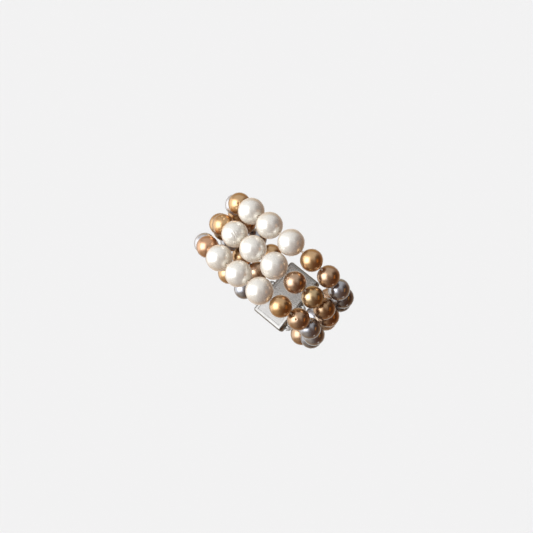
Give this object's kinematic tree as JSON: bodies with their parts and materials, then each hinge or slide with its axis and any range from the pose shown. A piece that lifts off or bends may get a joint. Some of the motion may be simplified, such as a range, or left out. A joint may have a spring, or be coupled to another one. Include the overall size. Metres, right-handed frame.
{
  "type": "pearl bracelet",
  "caption": "Multi-strand pearl bracelet in its worn form: large white pearls on top, small golden and grey ones round the sides, on one box clasp below.",
  "frame": {"origin": "the middle of the opening that a wrist goes through, halfway along the strands' lean", "axes": "+Y out of the opening towards the side where the top strand row leans, +Z from the clasp to the large white pearls on top, +X across the opening"},
  "size_m": [0.0721, 0.0405, 0.0588],
  "materials": {
    "white_pearl": "smooth ivory nacre with a soft satin lustre",
    "gold_pearl": "golden nacre with a bright, mirror-like lustre",
    "bronze_pearl": "bronze-gold nacre with a bright lustre",
    "rose_pearl": "rose-gold nacre with a bright lustre",
    "olive_pearl": "olive-gold nacre with a bright lustre",
    "champagne_pearl": "pale champagne nacre, lightly textured",
    "silver_pearl": "pale silver nacre with a bright lustre",
    "grey_pearl": "grey nacre with a bright lustre",
    "slate_pearl": "dark grey nacre with a bright lustre",
    "night_pearl": "very dark grey nacre with a bright lustre",
    "silk_thread": "twisted silk thread",
    "clasp_metal": "polished white metal"
  },
  "bodies": {
    "root": {"front_pearl_01": "gold_pearl", "front_pearl_02": "grey_pearl", "front_pearl_03": "bronze_pearl", "front_pearl_04": "gold_pearl", "front_pearl_05": "silver_pearl", "front_pearl_06": "gold_pearl", "front_pearl_07": "white_pearl", "front_pearl_08": "white_pearl", "front_pearl_09": "white_pearl", "front_pearl_10": "gold_pearl", "front_pearl_11": "bronze_pearl", "front_pearl_12": "grey_pearl", "front_pearl_13": "slate_pearl", "front_pearl_14": "night_pearl", "front_pearl_15": "bronze_pearl", "front_thread": "silk_thread", "middle_pearl_01": "bronze_pearl", "middle_pearl_02": "gold_pearl", "middle_pearl_03": "grey_pearl", "middle_pearl_04": "gold_pearl", "middle_pearl_05": "gold_pearl", "middle_pearl_06": "gold_pearl", "middle_pearl_07": "white_pearl", "middle_pearl_08": "white_pearl", "middle_pearl_09": "white_pearl", "middle_pearl_10": "bronze_pearl", "middle_pearl_11": "olive_pearl", "middle_pearl_12": "bronze_pearl", "middle_pearl_13": "bronze_pearl", "middle_pearl_14": "champagne_pearl", "middle_pearl_15": "grey_pearl", "middle_thread": "silk_thread", "back_pearl_01": "grey_pearl", "back_pearl_02": "gold_pearl", "back_pearl_03": "bronze_pearl", "back_pearl_04": "grey_pearl", "back_pearl_05": "silver_pearl", "back_pearl_06": "rose_pearl", "back_pearl_07": "white_pearl", "back_pearl_08": "white_pearl", "back_pearl_09": "white_pearl", "back_pearl_10": "gold_pearl", "back_pearl_11": "bronze_pearl", "back_pearl_12": "grey_pearl", "back_pearl_13": "grey_pearl", "back_pearl_14": "slate_pearl", "back_pearl_15": "bronze_pearl", "back_thread": "silk_thread", "clasp": "clasp_metal"}
  },
  "joints": []
}
